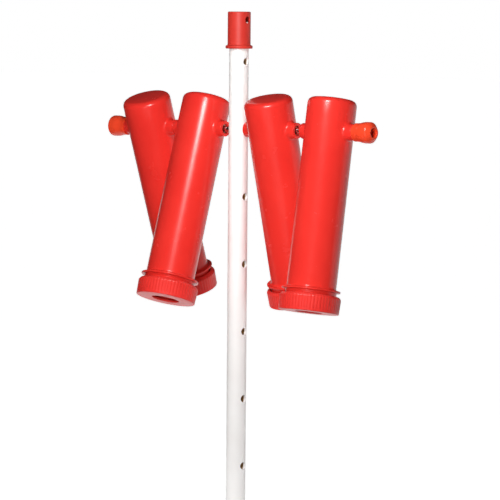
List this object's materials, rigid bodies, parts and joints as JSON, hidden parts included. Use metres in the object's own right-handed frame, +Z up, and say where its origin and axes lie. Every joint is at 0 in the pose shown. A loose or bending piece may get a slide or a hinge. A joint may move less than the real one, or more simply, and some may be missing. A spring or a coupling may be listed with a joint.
{
  "type": "pole with swinging canisters",
  "caption": "Cross-drilled tube pole carrying screw-cap canisters that swing on a horizontal axle through it, with end knobs and a socket cap on top.",
  "frame": {"origin": "centre of the pole's foot, on the pole's axis", "axes": "+Z up the pole, +X along the axle, so -Y is the side seen in front"},
  "size_m": [0.3854, 0.1889, 0.6214],
  "materials": {
    "white_pvc": "satin extruded PVC",
    "socket_red": "satin moulded polyethylene",
    "knob_red": "semi-gloss moulded polypropylene",
    "canister_red": "semi-gloss moulded polypropylene",
    "cap_red": "satin moulded polypropylene with fine ribs",
    "zinc_plated_steel": "bright zinc plate",
    "natural_nylon": "satin",
    "black_rubber": "matt"
  },
  "bodies": {
    "stand": {"pole": "white_pvc", "axle_rod": "zinc_plated_steel", "end_knob_left": "knob_red", "end_knob_right": "knob_red"},
    "top_cap": {"socket_cap": "socket_red"},
    "canister_1": {"canister_1": "canister_red", "axle_sleeve_1": "natural_nylon"},
    "gasket_1": {"cap_gasket_1": "black_rubber"},
    "screw_cap_1": {"screw_cap_1": "cap_red"},
    "canister_2": {"canister_2": "canister_red", "axle_sleeve_2": "natural_nylon"},
    "gasket_2": {"cap_gasket_2": "black_rubber"},
    "screw_cap_2": {"screw_cap_2": "cap_red"},
    "canister_3": {"canister_3": "canister_red", "axle_sleeve_3": "natural_nylon"},
    "gasket_3": {"cap_gasket_3": "black_rubber"},
    "screw_cap_3": {"screw_cap_3": "cap_red"},
    "canister_4": {"canister_4": "canister_red", "axle_sleeve_4": "natural_nylon"},
    "gasket_4": {"cap_gasket_4": "black_rubber"},
    "screw_cap_4": {"screw_cap_4": "cap_red"}
  },
  "joints": [
    {"name": "cap_lift", "type": "slide", "parent": "stand", "child": "top_cap", "axis": [0, 0, 1], "range_m": [0, 0.035]},
    {"name": "canister_swing_1", "type": "hinge", "parent": "stand", "child": "canister_1", "pos_m": [-0.1291, 0, 0.489], "axis": [1, 0, 0], "continuous": true},
    {"name": "cap_travel_1", "type": "slide", "parent": "canister_1", "child": "gasket_1", "axis": [0, 0.3305, -0.9438], "range_m": [0, 0.0158]},
    {"name": "cap_turn_1", "type": "hinge", "parent": "gasket_1", "child": "screw_cap_1", "pos_m": [-0.1291, 0.0628, 0.30968], "axis": [0, 0.3305, -0.9438], "range_deg": [0, 1260]},
    {"name": "canister_swing_2", "type": "hinge", "parent": "stand", "child": "canister_2", "pos_m": [-0.0554, 0, 0.489], "axis": [1, 0, 0], "continuous": true},
    {"name": "cap_travel_2", "type": "slide", "parent": "canister_2", "child": "gasket_2", "axis": [0, -0.2974, -0.9548], "range_m": [0, 0.0158]},
    {"name": "cap_turn_2", "type": "hinge", "parent": "gasket_2", "child": "screw_cap_2", "pos_m": [-0.0554, -0.0565, 0.3076], "axis": [0, -0.2974, -0.9548], "range_deg": [0, 1260]},
    {"name": "canister_swing_3", "type": "hinge", "parent": "stand", "child": "canister_3", "pos_m": [0.0498, 0, 0.489], "axis": [1, 0, 0], "continuous": true},
    {"name": "cap_travel_3", "type": "slide", "parent": "canister_3", "child": "gasket_3", "axis": [0, 0.2453, -0.9694], "range_m": [0, 0.0158]},
    {"name": "cap_turn_3", "type": "hinge", "parent": "gasket_3", "child": "screw_cap_3", "pos_m": [0.0498, 0.04661, 0.3048], "axis": [0, 0.2453, -0.9694], "range_deg": [0, 1260]},
    {"name": "canister_swing_4", "type": "hinge", "parent": "stand", "child": "canister_4", "pos_m": [0.131, 0, 0.489], "axis": [1, 0, 0], "continuous": true},
    {"name": "cap_travel_4", "type": "slide", "parent": "canister_4", "child": "gasket_4", "axis": [0, -0.165, -0.9863], "range_m": [0, 0.0158]},
    {"name": "cap_turn_4", "type": "hinge", "parent": "gasket_4", "child": "screw_cap_4", "pos_m": [0.131, -0.03136, 0.30161], "axis": [0, -0.165, -0.9863], "range_deg": [0, 1260]}
  ],
  "couplings": [
    {"joint": "cap_travel_1", "follows": "cap_turn_1", "m_per_rad": 0.0007162},
    {"joint": "cap_travel_2", "follows": "cap_turn_2", "m_per_rad": 0.0007162},
    {"joint": "cap_travel_3", "follows": "cap_turn_3", "m_per_rad": 0.0007162},
    {"joint": "cap_travel_4", "follows": "cap_turn_4", "m_per_rad": 0.0007162}
  ]
}
